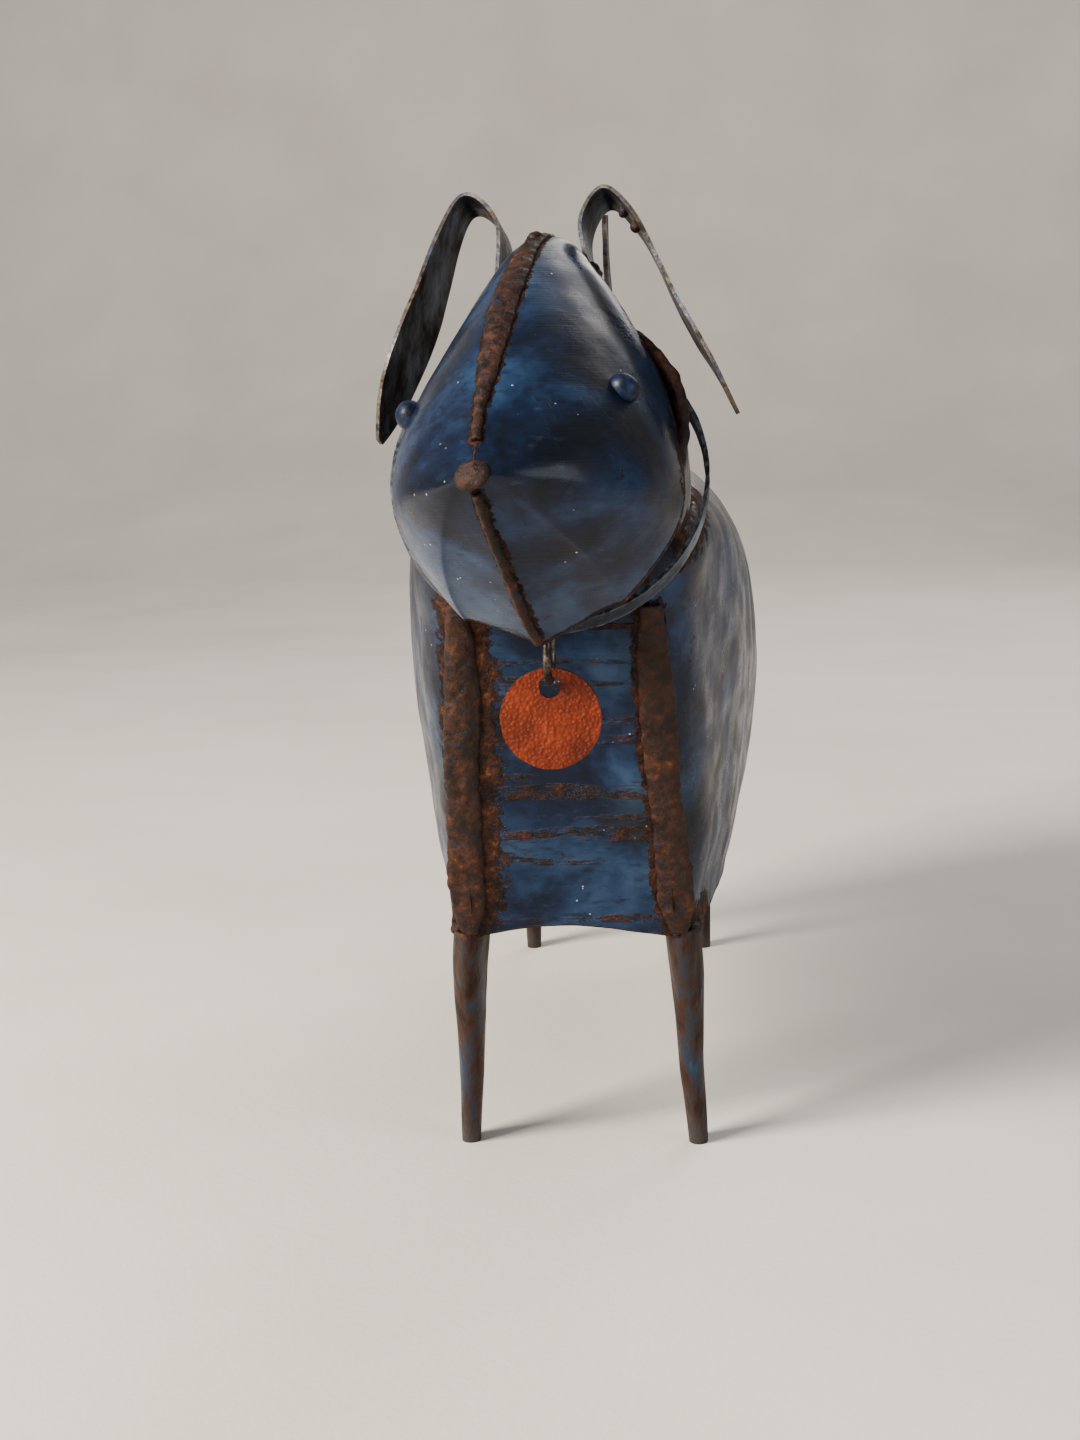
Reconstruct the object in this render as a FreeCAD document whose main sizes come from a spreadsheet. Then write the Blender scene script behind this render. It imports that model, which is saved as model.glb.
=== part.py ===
import FreeCAD, Part
import Sketcher
import math
import os

# Dog figurine folded and welded from thin sheet. Millimetres, +Z up, the dog faces -Y and its own
# left side is +X. Every piece is drawn with Y = 0 midway between the front and rear feet; the last
# step moves them all so that the origin is the bottom centre of the whole figure's box.

Vector = FreeCAD.Vector
Rotation = FreeCAD.Rotation
Placement = FreeCAD.Placement

doc = FreeCAD.newDocument("dog_figurine")
sheet = doc.addObject("Spreadsheet::Sheet", "Sizes")

SIZES = [
    ("gauge", 0.5, "thickness of every folded sheet"),
    ("back_height", 101.0, "spine above the ground at mid body"),
    ("belly_height", 34.0, "lower edge of the body, where the legs start"),
    ("belly_tuck", 2.5, "rise of the lower edge between the legs"),
    ("widest_height", 67.0, "height of the body's widest line"),
    ("body_half_width", 27.0, "half width at mid body"),
    ("belly_half_width", 22.5, "half width of the lower edge at mid body"),
    ("shoulder_power", 0.8, "roundness of the shoulders: 1 is an ellipse, less is squarer"),
    ("bulge_power", 0.5, "how fast the sides swell behind the chest"),
    ("chest_low_place", -67.0, "Y of the chest plate's lower edge"),
    ("chest_lean", 22.9, "chest plate's lean forward going up, degrees"),
    ("chest_low_half", 14.75, "half width of the chest plate's lower edge"),
    ("chest_top_half", 11.75, "half width of the chest plate where it meets the neck"),
    ("chest_arch", 1.8, "rise of the arched lower edge"),
    ("rump_low_place", 61.0, "Y of the rump plate's lower edge"),
    ("rump_lean", 6.0, "rump plate's lean rearward going up, degrees"),
    ("rump_half_width", 17.0, "half width of the rump plate"),
    ("rump_low_half", 15.5, "half width of its lower edge"),
    ("rump_height", 93.0, "top of the rump plate"),
    ("neck_place", -87.3, "Y of the neck axis where the collar hangs"),
    ("neck_height", 99.7, "height of the neck axis there"),
    ("neck_pitch", 26.0, "neck's rise towards the head, degrees"),
    ("neck_radius", 17.0, "outside radius of the neck tube"),
    ("neck_run", 31.0, "from the collar back along the top of the neck to the spine"),
    ("neck_tuck", 4.0, "how far the tube's slanted end reaches inside the body"),
    ("seat_sink", 1.0, "depth of the shells' front rim inside the neck's surface before trimming"),
    ("collar_radius", 19.75, "outside radius of the collar band"),
    ("collar_width", 3.5, "width of the band"),
    ("collar_gap", 0.3, "clearance between the band and the top of the neck"),
    ("collar_hole_radius", 1.3, "punched hole at the band's lowest point"),
    ("ring_radius", 3.5, "jump ring, centre line"),
    ("wire_radius", 0.5, "jump ring wire"),
    ("ring_behind", 2.3, "ring centre behind the punched hole, along the neck"),
    ("ring_below", 2.33, "ring centre below the band's middle surface"),
    ("ring_sweep", 352.0, "the ring is open by the rest of the circle, degrees"),
    ("tag_radius", 6.25, "round tag"),
    ("tag_thickness", 0.7, "tag"),
    ("tag_hole_radius", 1.35, "hole in the tag"),
    ("tag_hole_rise", 3.9, "hole centre above the tag's centre"),
    ("tag_play", 0.08, "clearance between ring wire and tag hole"),
    ("head_gap", 6.3, "from the collar's middle to the back of the head, along the neck"),
    ("head_sink", 3.4, "head's widest line below the collar's axis"),
    ("head_turn", 12.5, "head turned to its own right, degrees"),
    ("crown_rise", 33.4, "crown above the head's widest line"),
    ("chin_drop", 20.6, "chin below the widest line"),
    ("head_half_width", 17.2, "half width across the cheeks"),
    ("nose_reach", 26.0, "nose tip in front of the head's back"),
    ("nose_drop", 10.8, "nose tip below the widest line"),
    ("eye_radius", 1.8, "round drop that makes the eye"),
    ("eye_forward", 11.8, "eye in front of the head's back"),
    ("eye_rise", 5.0, "eye above the widest line"),
    ("ear_root_width", 6.0, "ear strip at its root"),
    ("ear_leaf_width", 9.4, "widest part of the hanging leaf"),
    ("foot_width", 2.8, "leg across, at the ground"),
    ("foot_depth", 3.6, "leg front to back, at the ground"),
    ("leg_top_width", 5.2, "leg across, under the body"),
    ("leg_top_depth", 14.0, "leg front to back, under the body"),
    ("front_foot_place", -55.0, "Y of the front feet"),
    ("rear_foot_place", 55.0, "Y of the rear feet"),
    ("leg_lap", 0.2, "how far a leg's top reaches into the lower edge it is welded to"),
    ("leg_lean", 5.0, "leg's top in front of its foot"),
    ("front_foot_half", 16.9, "front foot centre from the middle plane"),
    ("rear_foot_half", 17.4, "rear foot centre from the middle plane"),
    ("tail_width", 6.5, "tail strip"),
    ("tail_thickness", 1.0, "tail strip"),
    ("tail_radius", 50.0, "tail's curve, middle line"),
    ("tail_centre_height", 109.0, "height of the curve's centre"),
    ("tail_overhang", 8.5, "tail's rearmost middle line behind the rump plate's top"),
    ("tail_down", 36.0, "tail's arc below the centre's height, degrees"),
    ("tail_up", 44.0, "tail's arc above the centre's height, degrees"),
    ("weld_half_width", 1.5, "half width of a plain seam bead"),
    ("weld_half_height", 0.8, "half height of a plain seam bead"),
    ("chest_weld_half_width", 2.3, "half width of the broad beads beside the chest plate"),
    ("face_weld_half_width", 1.6, "half width of the seam over the forehead"),
    ("keel_weld_half_width", 0.55, "half width of the seam from the nose to the chin"),
    ("ear_weld_rise", 3, "ear drops above the ears' lower ends"),
    ("crown_lump_share", 0.2, "crown lump's share of the way from the crown to the nose"),
    ("nose_weld_lift", 0.3, "nose drop above the nose tip"),
    ("tack_half_length", 1.5, "half length of the collar's closing weld round the band"),
    ("tack_turn", 160.0, "closing weld round the band from the punched hole, degrees"),
]

for row, (alias, value, note) in enumerate(SIZES, 1):
    sheet.set(f"A{row}", note)
    sheet.set(f"B{row}", str(value))
    sheet.setAlias(f"B{row}", alias)
doc.recompute()


def size(alias):
    return float(getattr(sheet, alias))


SIDES = (("right", -1), ("left", 1))
GAUGE = size("gauge")
PIECES = []


def piece(label, thing):
    thing.Label = label
    PIECES.append(thing)
    return thing


def shape_piece(label, shape, placement=None):
    """A sub-part whose free-form shape no primitive or sketch can give."""
    thing = doc.addObject("Part::Feature", label)
    thing.Shape = shape
    if placement:
        thing.Placement = placement
    return piece(label, thing)


def bind(thing, **formulas):
    for name, formula in formulas.items():
        thing.setExpression(name, formula)


def blend(start, end, share):
    return start + (end - start) * share


def spline_edge(points, first=None, last=None):
    curve = Part.BSplineCurve()
    if first:
        curve.interpolate(Points=points, InitialTangent=first, FinalTangent=last)
    else:
        curve.interpolate(points)
    return curve.toShape()


# ---- axes of the neck and the head ---------------------------------------------------------

pitch = math.radians(size("neck_pitch"))
FORWARD = Vector(0, -math.cos(pitch), math.sin(pitch))
UP_NECK = Vector(0, math.sin(pitch), math.cos(pitch))
ALONG_NECK = Rotation(Vector(1, 0, 0), -size("neck_pitch"))
neck_point = Vector(0, size("neck_place"), size("neck_height"))
collar_slack = size("collar_radius") - GAUGE - size("neck_radius") - size("collar_gap")
collar_centre = neck_point - UP_NECK * collar_slack
head_centre = collar_centre + FORWARD * size("head_gap") - UP_NECK * size("head_sink")
HEAD_PLACE = Placement(head_centre, ALONG_NECK * Rotation(Vector(0, 0, 1), -size("head_turn")))


def neck_surface(angle, back, radius):
    """A point on the neck: angle from its top, distance back from the collar."""
    across = Vector(math.sin(angle), 0, 0) * radius
    return neck_point + across + UP_NECK * (radius * math.cos(angle)) - FORWARD * back


# ---- body surface --------------------------------------------------------------------------

chest_slope = math.tan(math.radians(size("chest_lean")))
rump_slope = math.tan(math.radians(size("rump_lean")))
rim_radius = size("neck_radius") - size("seat_sink")
chest_corner_angle = math.pi - math.asin(size("chest_top_half") / rim_radius)


def chest_y(height):
    return size("chest_low_place") - chest_slope * (height - size("belly_height"))


def rump_y(height):
    return size("rump_low_place") + rump_slope * (height - size("belly_height"))


def chest_corner():
    """Where the chest plate's edge line runs into the neck."""
    start = neck_surface(chest_corner_angle, 0, rim_radius)
    back = (chest_y(start.z) - start.y) / (-FORWARD.y - chest_slope * FORWARD.z)
    return start - FORWARD * back, back


CORNER, CORNER_BACK = chest_corner()


def front_rim(girth):
    """Front rim of a side shell: round the neck from the spine, then down the chest plate."""
    if girth <= 0.5:
        angle = chest_corner_angle * girth * 2
        share = (math.cos(angle) - math.cos(chest_corner_angle)) / (1 - math.cos(chest_corner_angle))
        return neck_surface(angle, blend(CORNER_BACK, size("neck_run"), share), rim_radius)
    low = Vector(size("chest_low_half"), size("chest_low_place"), size("belly_height"))
    return CORNER + (low - CORNER) * (girth * 2 - 1)


def girth_curve(girth, top, middle, bottom, half_width, low_half):
    """Half section of the barrel: a rounded shoulder, then a side that draws in to the belly."""
    power = size("shoulder_power")
    if girth <= 0.5:
        angle = math.pi * girth
        return half_width * math.sin(angle) ** power, blend(middle, top, math.cos(angle) ** power)
    share = girth * 2 - 1
    return blend(half_width, low_half, share ** 2), blend(middle, bottom, share)


def rear_rim(girth):
    across, height = girth_curve(girth, size("rump_height"), size("widest_height"),
                                 size("belly_height"), size("rump_half_width"),
                                 size("rump_low_half"))
    return Vector(across, rump_y(height), height)


def middle_rim(girth):
    low = size("belly_height") + size("belly_tuck")
    across, height = girth_curve(girth, size("back_height"), size("widest_height"), low,
                                 size("body_half_width"), size("belly_half_width"))
    return Vector(across, 0, height)


def body_point(length, girth):
    """length runs from 0 at the chest to 1 at the rump, girth from 0 at the spine to 1 below."""
    front, middle, rear = front_rim(girth), middle_rim(girth), rear_rim(girth)
    straight = front + (rear - front) * length
    swell = max(math.sin(math.pi * length), 0) ** size("bulge_power")
    half_way = (front + rear) * 0.5
    across = straight.x + (middle.x - half_way.x) * swell
    height = straight.z + (middle.z - half_way.z) * swell ** 2
    return Vector(across, straight.y, height)


def body_station(place, girth):
    """The shell's point at a given Y on one line of the girth."""
    front, rear = front_rim(girth), rear_rim(girth)
    return body_point((place - front.y) / (rear.y - front.y), girth)


STATIONS = [(1 - math.cos(math.pi * step / 10)) / 2 for step in range(11)]
GIRTHS = [step / 10 for step in range(11)]


def skin(grid):
    surface = Part.BSplineSurface()
    surface.interpolate(grid)
    return surface


def sheet_between(outer, inner):
    """Closed solid between two surfaces that face each other across the sheet."""
    faces = [outer.toShape(), inner.toShape()]
    first_u, last_u, first_v, last_v = outer.bounds()
    low_u, high_u, low_v, high_v = inner.bounds()
    for out_at, in_at in ((first_u, low_u), (last_u, high_u)):
        faces.append(Part.makeRuledSurface(outer.uIso(out_at).toShape(), inner.uIso(in_at).toShape()))
    for out_at, in_at in ((first_v, low_v), (last_v, high_v)):
        faces.append(Part.makeRuledSurface(outer.vIso(out_at).toShape(), inner.vIso(in_at).toShape()))
    closed = Part.Compound(faces)
    closed.sewShape()
    solid = Part.makeSolid(closed.Shells[0])
    if solid.Volume < 0:
        solid.reverse()
    return solid


def strip_between(rails):
    """Closed solid along four rails that run round a strip's section."""
    curves = [spline_edge(rail).Curve for rail in rails]
    faces = [curves[step - 1].makeRuledSurface(curves[step]).toShape() for step in range(4)]
    for end in (0, -1):
        corners = [rail[end] for rail in rails]
        faces.append(Part.Face(Part.makePolygon(corners + corners[:1])))
    closed = Part.Compound(faces)
    closed.sewShape()
    solid = Part.makeSolid(closed.Shells[0])
    if solid.Volume < 0:
        solid.reverse()
    return solid


def body_inside(length, girth):
    """The shell's inner surface, one gauge under the outer one; it ends on the middle plane."""
    step = 0.002
    along = body_point(min(length + step, 1), girth) - body_point(max(length - step, 0), girth)
    round_way = body_point(length, min(girth + step, 1)) - body_point(length, max(girth - step, 0))
    normal = round_way.cross(along)
    normal.normalize()
    outside = body_point(length, girth)
    if girth == 0:
        return outside - Vector(0, normal.y, normal.z) * GAUGE
    from_axis = outside - Vector(0, outside.y, size("widest_height"))
    outward = normal if normal.dot(from_axis) > 0 else normal * -1
    return outside - outward * GAUGE


def side_shell():
    outer = [[body_point(length, girth) for girth in GIRTHS] for length in STATIONS]
    inner = [[body_inside(length, girth) for girth in GIRTHS] for length in STATIONS]
    return sheet_between(skin(outer), skin(inner))


def mirrored(shape, side):
    return shape.mirror(Vector(0, 0, 0), Vector(1, 0, 0)) if side < 0 else shape


def rod(start, direction, radius, length):
    return Part.makeCylinder(radius, length, start, direction)


NECK_LENGTH = 3 * size("neck_run")
neck_back_end = neck_point - FORWARD * (NECK_LENGTH / 2)
neck_room = rod(neck_back_end, FORWARD, size("neck_radius"), NECK_LENGTH)


trimmed_shell = side_shell().cut(neck_room)
body_half = max(trimmed_shell.Solids, key=lambda solid: solid.Volume)
for name, side in SIDES:
    shape_piece(f"side_{name}", mirrored(body_half, side))


# ---- end plates ----------------------------------------------------------------------------

def chest_plate():
    low = Vector(size("chest_low_half"), size("chest_low_place"), size("belly_height"))
    top = CORNER + (CORNER - low) * 0.05
    arch = Vector(0, chest_y(size("belly_height") + size("chest_arch")),
                  size("belly_height") + size("chest_arch"))
    flip = [Vector(-p.x, p.y, p.z) for p in (low, top)]
    edges = [
        Part.LineSegment(low, top).toShape(),
        Part.LineSegment(top, flip[1]).toShape(),
        Part.LineSegment(flip[1], flip[0]).toShape(),
        Part.Arc(flip[0], arch, low).toShape(),
    ]
    face = Part.Face(Part.Wire(edges))
    lean = math.radians(size("chest_lean"))
    inward = Vector(0, math.cos(lean), math.sin(lean))
    plate = face.extrude(inward * GAUGE).cut(neck_room)
    return max(plate.Solids, key=lambda solid: solid.Volume)


def rump_plate():
    rim = [rear_rim(girth) for girth in (0, 0.1, 0.2, 0.3, 0.4, 0.5, 0.65, 0.8, 1)]
    side = [Vector(max(p.x - GAUGE, 0), p.y, p.z) for p in rim]
    top = Vector(0, rump_y(size("rump_height") - GAUGE), size("rump_height") - GAUGE)
    side[0] = top
    right = spline_edge([Vector(-p.x, p.y, p.z) for p in side])
    left = spline_edge(side)
    low = Part.LineSegment(Vector(-side[-1].x, side[-1].y, side[-1].z), side[-1]).toShape()
    face = Part.Face(Part.Wire(Part.__sortEdges__([left, low, right])))
    lean = math.radians(size("rump_lean"))
    return face.extrude(Vector(0, -math.cos(lean), math.sin(lean)) * GAUGE)


shape_piece("chest_panel", chest_plate())
shape_piece("rump_panel", rump_plate())


# ---- weld beads ----------------------------------------------------------------------------

def bead(points, across, half_widths, half_height):
    """A bead along points: ellipses across the path, their long axis along the given side way."""
    rings = []
    last = len(points) - 1
    for step, point in enumerate(points):
        ahead = points[min(step + 1, last)] - points[max(step - 1, 0)]
        ahead.normalize()
        side = across[step] if isinstance(across, list) else across
        side = side - ahead * side.dot(ahead)
        side.normalize()
        half_width = half_widths[step] if isinstance(half_widths, list) else half_widths
        major, minor = max(half_width, half_height), min(half_width, half_height)
        way = side if half_width >= half_height else ahead.cross(side)
        ellipse = Part.Ellipse(point + way * major, point + ahead.cross(way) * minor, point)
        rings.append(Part.Wire(ellipse.toShape()))
    return Part.makeLoft(rings, True)


def taper(count, full, end):
    """Half widths that swell from a thin end to the full width and back."""
    return [full if 0 < step < count - 1 else end for step in range(count)]


X_WAY = Vector(1, 0, 0)
WELD_WIDTH = size("weld_half_width")
WELD_HEIGHT = size("weld_half_height")
spine_points = [body_point(blend(0.03, 0.995, step / 12), 0) for step in range(13)]
shape_piece("spine_weld", bead(spine_points, X_WAY, taper(13, WELD_WIDTH, 1), WELD_HEIGHT))

for name, side in SIDES:
    path = [front_rim(girth) for girth in (0.56, 0.65, 0.75, 0.85, 0.95, 0.99)]
    path = [Vector(side * p.x, p.y, p.z) for p in path]
    widths = taper(6, size("chest_weld_half_width"), 1.2)
    shape_piece(f"chest_weld_{name}", bead(path, X_WAY, widths, WELD_HEIGHT))
    path = [rear_rim(girth) for girth in (0.12, 0.25, 0.4, 0.5, 0.65, 0.8, 0.98)]
    path = [Vector(side * p.x, p.y, p.z) for p in path]
    shape_piece(f"rump_weld_{name}", bead(path, X_WAY, taper(7, WELD_WIDTH, 1), WELD_HEIGHT))


def neck_weld():
    angles = [chest_corner_angle * 0.9 * step / 6 for step in range(-6, 7)]
    points = []
    for angle in angles:
        share = (math.cos(angle) - math.cos(chest_corner_angle)) / (1 - math.cos(chest_corner_angle))
        back = blend(CORNER_BACK, size("neck_run"), share) + size("seat_sink")
        points.append(neck_surface(angle, back, size("neck_radius")))
    return bead(points, FORWARD, taper(13, WELD_WIDTH, 1), WELD_HEIGHT)


shape_piece("neck_weld", neck_weld())


# ---- head ----------------------------------------------------------------------------------
# Drawn in its own frame: the back is the plane Y = 0, the nose points along -Y, Z runs from the
# widest line up to the crown.

FACE_OUTLINE = [(0, 1), (0.26, 0.91), (0.58, 0.64), (0.83, 0.37), (1, 0),
                (0.91, -0.44), (0.59, -0.78), (0, -1)]


def head_profile(reach_share, inset):
    """Half width, top, widest line and bottom of the head's section, and its Y."""
    nose = -size("nose_drop")
    half_width = (size("head_half_width") - inset) * (1 - reach_share ** 2) ** 0.6
    top = nose + (size("crown_rise") - inset - nose) * (1 - reach_share ** 1.5) ** 0.8
    low = nose + (inset - size("chin_drop") - nose) * (1 - reach_share ** 1.3) ** 0.9
    widest = nose * reach_share ** 1.5
    return half_width, top, widest, low, -(size("nose_reach") - 1.5 * inset) * reach_share


def head_curve(reach_share, inset, side):
    half_width, top, widest, low, place = head_profile(reach_share, inset)
    points = []
    for across, rise in FACE_OUTLINE:
        height = widest + rise * ((top - widest) if rise > 0 else (widest - low))
        points.append(Vector(side * across * half_width, place, height))
    keel_way = Vector(-side * half_width, 0, -0.45 * (widest - low))
    return spline_edge(points, Vector(side, 0, 0), keel_way)


REACHES = [math.sin(math.radians(turn)) for turn in (0, 14, 28, 42, 55, 67, 76, 82)]


def head_skin(inset, side):
    """One surface of half the face, through its sections."""
    sections = [Part.Wire(head_curve(share, inset, side)) for share in REACHES]
    return Part.makeLoft(sections, False).Faces[0].Surface


def head_half(side):
    """Half of the face: open behind and along the middle, and cut off just short of the nose."""
    return sheet_between(head_skin(0, side), head_skin(GAUGE, side))


def head_back():
    right, left = head_curve(0, 0, -1), head_curve(0, 0, 1)
    face = Part.Face(Part.Wire(Part.__sortEdges__([right, left])))
    return face.extrude(Vector(0, GAUGE, 0))


for name, side in SIDES:
    shape_piece(f"head_{name}", head_half(side), HEAD_PLACE)
shape_piece("head_back", head_back(), HEAD_PLACE)


def face_line(reach_share, low=False):
    profile = head_profile(reach_share, 0)
    return Vector(0, profile[4], profile[3] if low else profile[1])


brow = [face_line(share) for share in (0.03, 0.12, 0.3, 0.5, 0.7, 0.85, 0.96)]
keel = [face_line(share, True) for share in (0.93, 0.8, 0.6, 0.4, 0.2, 0.04)]
face_wide = size("face_weld_half_width")
keel_wide = size("keel_weld_half_width")
brow_widths = [0.6 * face_wide, 0.7 * face_wide, 0.8 * face_wide, face_wide, face_wide,
               0.6 * face_wide, keel_wide]
shape_piece("head_seam_weld", bead(brow, X_WAY, brow_widths, 0.7 * WELD_HEIGHT), HEAD_PLACE)
shape_piece("keel_weld", bead(keel, X_WAY, keel_wide, WELD_HEIGHT), HEAD_PLACE)


def head_weld():
    """Bead between the end of the neck tube and the plate behind the head."""
    behind_head = HEAD_PLACE.multVec(Vector(0, GAUGE, 0))
    normal = HEAD_PLACE.Rotation.multVec(Vector(0, 1, 0))
    along = (behind_head - neck_point).dot(normal) / FORWARD.dot(normal)
    ring = doc.addObject("Part::Torus", "head_weld")
    bind(ring, Radius1="Sizes.neck_radius", Radius2="Sizes.weld_half_height")
    ring.Placement = Placement(neck_point + FORWARD * along, Rotation(Vector(0, 0, 1), normal))
    return piece("head_weld", ring)


head_weld()


def neck_tube():
    """A tube cut square to the turned head in front and on a slant inside the body."""
    outer = rod(neck_back_end, FORWARD, size("neck_radius"), NECK_LENGTH)
    inner = rod(neck_back_end, FORWARD, size("neck_radius") - GAUGE, NECK_LENGTH)
    reach = 2 * NECK_LENGTH
    ahead = Part.makeBox(reach, reach, reach, Vector(-reach / 2, GAUGE - reach, -reach / 2))
    ahead.Placement = HEAD_PLACE * ahead.Placement
    top = neck_surface(0, size("neck_run") + size("neck_tuck"), size("neck_radius"))
    low = neck_surface(math.pi, CORNER_BACK + 2 * size("neck_tuck"), size("neck_radius"))
    behind = Part.makeBox(reach, reach, reach, Vector(-reach / 2, 0, -reach / 2))
    behind.Placement = Placement(low, Rotation(Vector(0, 0, 1), top - low)) * behind.Placement
    return outer.cut(inner).cut(ahead).cut(behind)


shape_piece("neck_tube", neck_tube())


# ---- drops of weld and eyes ----------------------------------------------------------------

CROWN_LUMP_RADII = (1.1, 1.3, 1.1)
NOSE_WELD_RADII = (2.0, 0.8, 1.7)
EAR_WELD_RADII = (1.3, 1.6, 2.6)
EAR_DRIP_RADII = (0.7, 0.8, 0.9)
LEG_WELD_RADII = (1.4, 4.5, 1.4)
TAIL_WELD_RADII = (1.6, 1.6, 3.2)


def drop(label, place, radii, placement=None, turn=None):
    """A rounded drop: an ellipsoid with radii along X, Y and Z of its own frame."""
    thing = doc.addObject("Part::Ellipsoid", label)
    thing.Radius1, thing.Radius2, thing.Radius3 = radii[2], radii[0], radii[1]
    own = Placement(place, turn or Rotation())
    thing.Placement = placement * own if placement else own
    return piece(label, thing)


def on_face(forward, rise, side):
    """The point of the head's surface at a distance in front of its back and a height."""
    curve = head_curve(forward / size("nose_reach"), 0, side).Curve
    low, high = curve.FirstParameter, curve.LastParameter
    for _ in range(30):
        middle = (low + high) / 2
        if curve.value(middle).z > rise:
            low = middle
        else:
            high = middle
    return curve.value(low)


for name, side in SIDES:
    eye = doc.addObject("Part::Sphere", f"eye_{name}")
    bind(eye, Radius="Sizes.eye_radius")
    spot = on_face(size("eye_forward"), size("eye_rise"), side)
    eye.Placement = Placement(HEAD_PLACE.multVec(spot), HEAD_PLACE.Rotation)
    piece(f"eye_{name}", eye)

crown_spot = face_line(size("crown_lump_share"))
drop("crown_lump", crown_spot, CROWN_LUMP_RADII, HEAD_PLACE)
nose_spot = Vector(0, -size("nose_reach") * REACHES[-1], size("nose_weld_lift") - size("nose_drop"))
drop("nose_weld", nose_spot, NOSE_WELD_RADII, HEAD_PLACE)


# ---- ears ----------------------------------------------------------------------------------

# The middle line of each ear, in shares of the head's half width and of its crown's rise.
EARS = {
    "right": [(-0.378, 0.734), (-0.407, 0.988), (-0.500, 1.213), (-0.686, 1.287),
              (-0.826, 1.183), (-1.017, 0.868), (-1.221, 0.554), (-1.360, 0.314)],
    "left": [(0.291, 0.734), (0.227, 0.988), (0.233, 1.138), (0.360, 1.222),
              (0.523, 1.153), (0.814, 0.838), (1.105, 0.509), (1.337, 0.240)],
}
EAR_DRIPS = {"upper": (0.500, 1.156), "lower": (0.593, 1.075)}


def ear_point(share, back):
    """A point beside the head, behind its back plane, from shares of the head's sizes."""
    across, height = share
    return Vector(across * size("head_half_width"), back, height * size("crown_rise"))


def ear_strip(name):
    root, leaf = size("ear_root_width"), size("ear_leaf_width")
    widths = [root, root, 0.95 * root, 0.9 * root, 1.1 * root, leaf, 0.95 * leaf, 0.15 * leaf]
    middle = GAUGE + root / 2
    points = [ear_point(share, middle) for share in EARS[name]]
    rails = [[], [], [], []]
    for step, (point, width) in enumerate(zip(points, widths)):
        ahead = points[min(step + 1, len(points) - 1)] - points[max(step - 1, 0)]
        ahead.normalize()
        thick_way = Vector(0, 1, 0).cross(ahead) * (GAUGE / 2)
        wide_way = Vector(0, width / 2, 0)
        rails[0].append(point + wide_way + thick_way)
        rails[1].append(point - wide_way + thick_way)
        rails[2].append(point - wide_way - thick_way)
        rails[3].append(point + wide_way - thick_way)
    return strip_between(rails)


for name, side in SIDES:
    shape_piece(f"ear_{name}", ear_strip(name), HEAD_PLACE)
    spot = ear_point(EARS[name][0], GAUGE + 1) + Vector(0, 0, size("ear_weld_rise"))
    drop(f"ear_weld_{name}", spot, EAR_WELD_RADII, HEAD_PLACE)
for name, share in EAR_DRIPS.items():
    spot = ear_point(share, GAUGE + size("ear_root_width") / 2)
    drop(f"ear_drip_{name}", spot, EAR_DRIP_RADII, HEAD_PLACE)


# ---- legs ----------------------------------------------------------------------------------

def leg(label, foot_place, foot_half, side):
    """A tapered tube, closed at the foot, with an elbow swelling at the rear of its top."""
    top_place = foot_place - size("leg_lean")
    rim = body_station(top_place, 1)
    top_half = rim.x - size("leg_top_width") / 2
    height = rim.z + size("leg_lap")
    stations = ((0, 0, 0), (0.32, 0.3, 0.2), (0.68, 0.72, 0.58), (0.9, 0.95, 0.95), (1, 1, 1))
    solids = []
    for inset in (0, GAUGE):
        rings = []
        for rise, wide_share, deep_share in stations:
            wide = blend(size("foot_width"), size("leg_top_width"), wide_share) / 2 - inset
            deep = blend(size("foot_depth"), size("leg_top_depth"), deep_share) / 2 - inset
            centre = Vector(side * blend(foot_half, top_half, rise),
                            blend(foot_place, top_place, rise), rise * height)
            if inset and rise == 0:
                centre.z = 2 * GAUGE
            ring = Part.Ellipse(centre + Vector(0, deep, 0), centre + Vector(wide, 0, 0), centre)
            rings.append(Part.Wire(ring.toShape()))
        solids.append(Part.makeLoft(rings, True))
    shape_piece(label, solids[0].cut(solids[1]))
    spot = Vector(side * (top_half + 0.3 * size("leg_top_width")), top_place, height)
    drop(label.replace("leg", "leg_weld"), spot, LEG_WELD_RADII)


for name, side in SIDES:
    leg(f"leg_front_{name}", size("front_foot_place"), size("front_foot_half"), side)
    leg(f"leg_rear_{name}", size("rear_foot_place"), size("rear_foot_half"), side)


# ---- tail ----------------------------------------------------------------------------------

def tail_strip():
    """A strip on edge, bent to one arc in the middle plane, with a round tip."""
    radius, wide, thick = size("tail_radius"), size("tail_width"), size("tail_thickness")
    rump_top = rump_y(size("rump_height"))
    centre = Vector(-thick / 2, rump_top + size("tail_overhang") - radius, size("tail_centre_height"))
    sweep = size("tail_down") + size("tail_up")
    outer = Part.makeCylinder(radius + wide / 2, thick, Vector(), Vector(0, 0, 1), sweep)
    inner = Part.makeCylinder(radius - wide / 2, thick, Vector(), Vector(0, 0, 1), sweep)
    band = outer.cut(inner)
    tip_turn = math.radians(sweep)
    tip = Vector(radius * math.cos(tip_turn), radius * math.sin(tip_turn), 0)
    band = band.fuse(Part.makeCylinder(wide / 2, thick, tip)).removeSplitter()
    upright = Rotation(Vector(1, 1, 1), 120) * Rotation(Vector(0, 0, 1), -size("tail_down"))
    band.Placement = Placement(centre, upright)
    reach = 2 * radius
    lean = Rotation(Vector(1, 0, 0), -size("rump_lean"))
    body_room = Part.makeBox(reach, reach, reach, Vector(-reach / 2, -reach, -reach))
    low = Vector(0, rump_top, size("rump_height") + WELD_HEIGHT)
    body_room.Placement = Placement(low, lean) * body_room.Placement
    return band.cut(body_room)


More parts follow.
